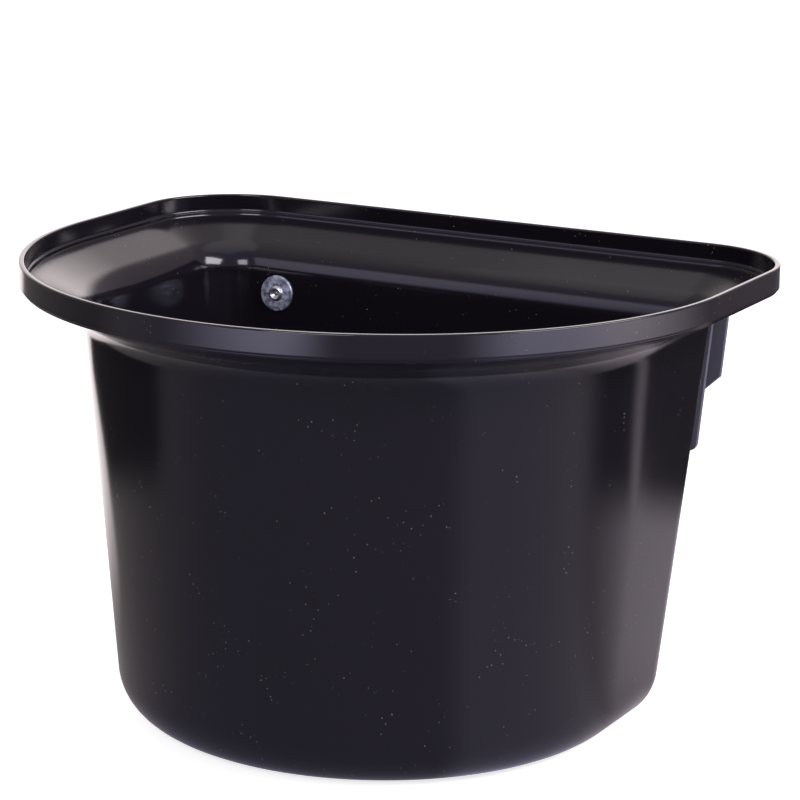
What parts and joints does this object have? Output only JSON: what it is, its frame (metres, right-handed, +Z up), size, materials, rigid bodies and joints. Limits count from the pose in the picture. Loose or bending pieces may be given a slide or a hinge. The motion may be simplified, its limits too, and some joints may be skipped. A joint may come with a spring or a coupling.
{
  "type": "feed bucket",
  "caption": "D-shaped moulded hanging feed bucket with a wide banded rim, a flat back wall and a folded steel hook plate riveted on for hanging it over a board or rail",
  "frame": {"origin": "middle of the footprint's bounding rectangle, on the surface that the bucket stands on", "axes": "+X to the side, +Y to the flat back wall with the hook plate, +Z up through the open mouth; the bucket is the same on both sides of X = 0"},
  "size_m": [0.41, 0.341, 0.266],
  "materials": {
    "tub_plastic": "glossy black moulded polyethylene with fine dust and hairline scratches",
    "coated_steel": "semi-gloss black powder coat",
    "zinc_washer": "bright zinc plate",
    "rivet_aluminium": "satin aluminium",
    "stem_steel": "plain drawn steel, snapped end"
  },
  "bodies": {
    "root": {"tub": "tub_plastic", "hook_plate": "coated_steel", "left_washer": "zinc_washer", "right_washer": "zinc_washer", "left_rivet": "rivet_aluminium", "right_rivet": "rivet_aluminium", "left_rivet_stem": "stem_steel", "right_rivet_stem": "stem_steel"}
  },
  "joints": []
}
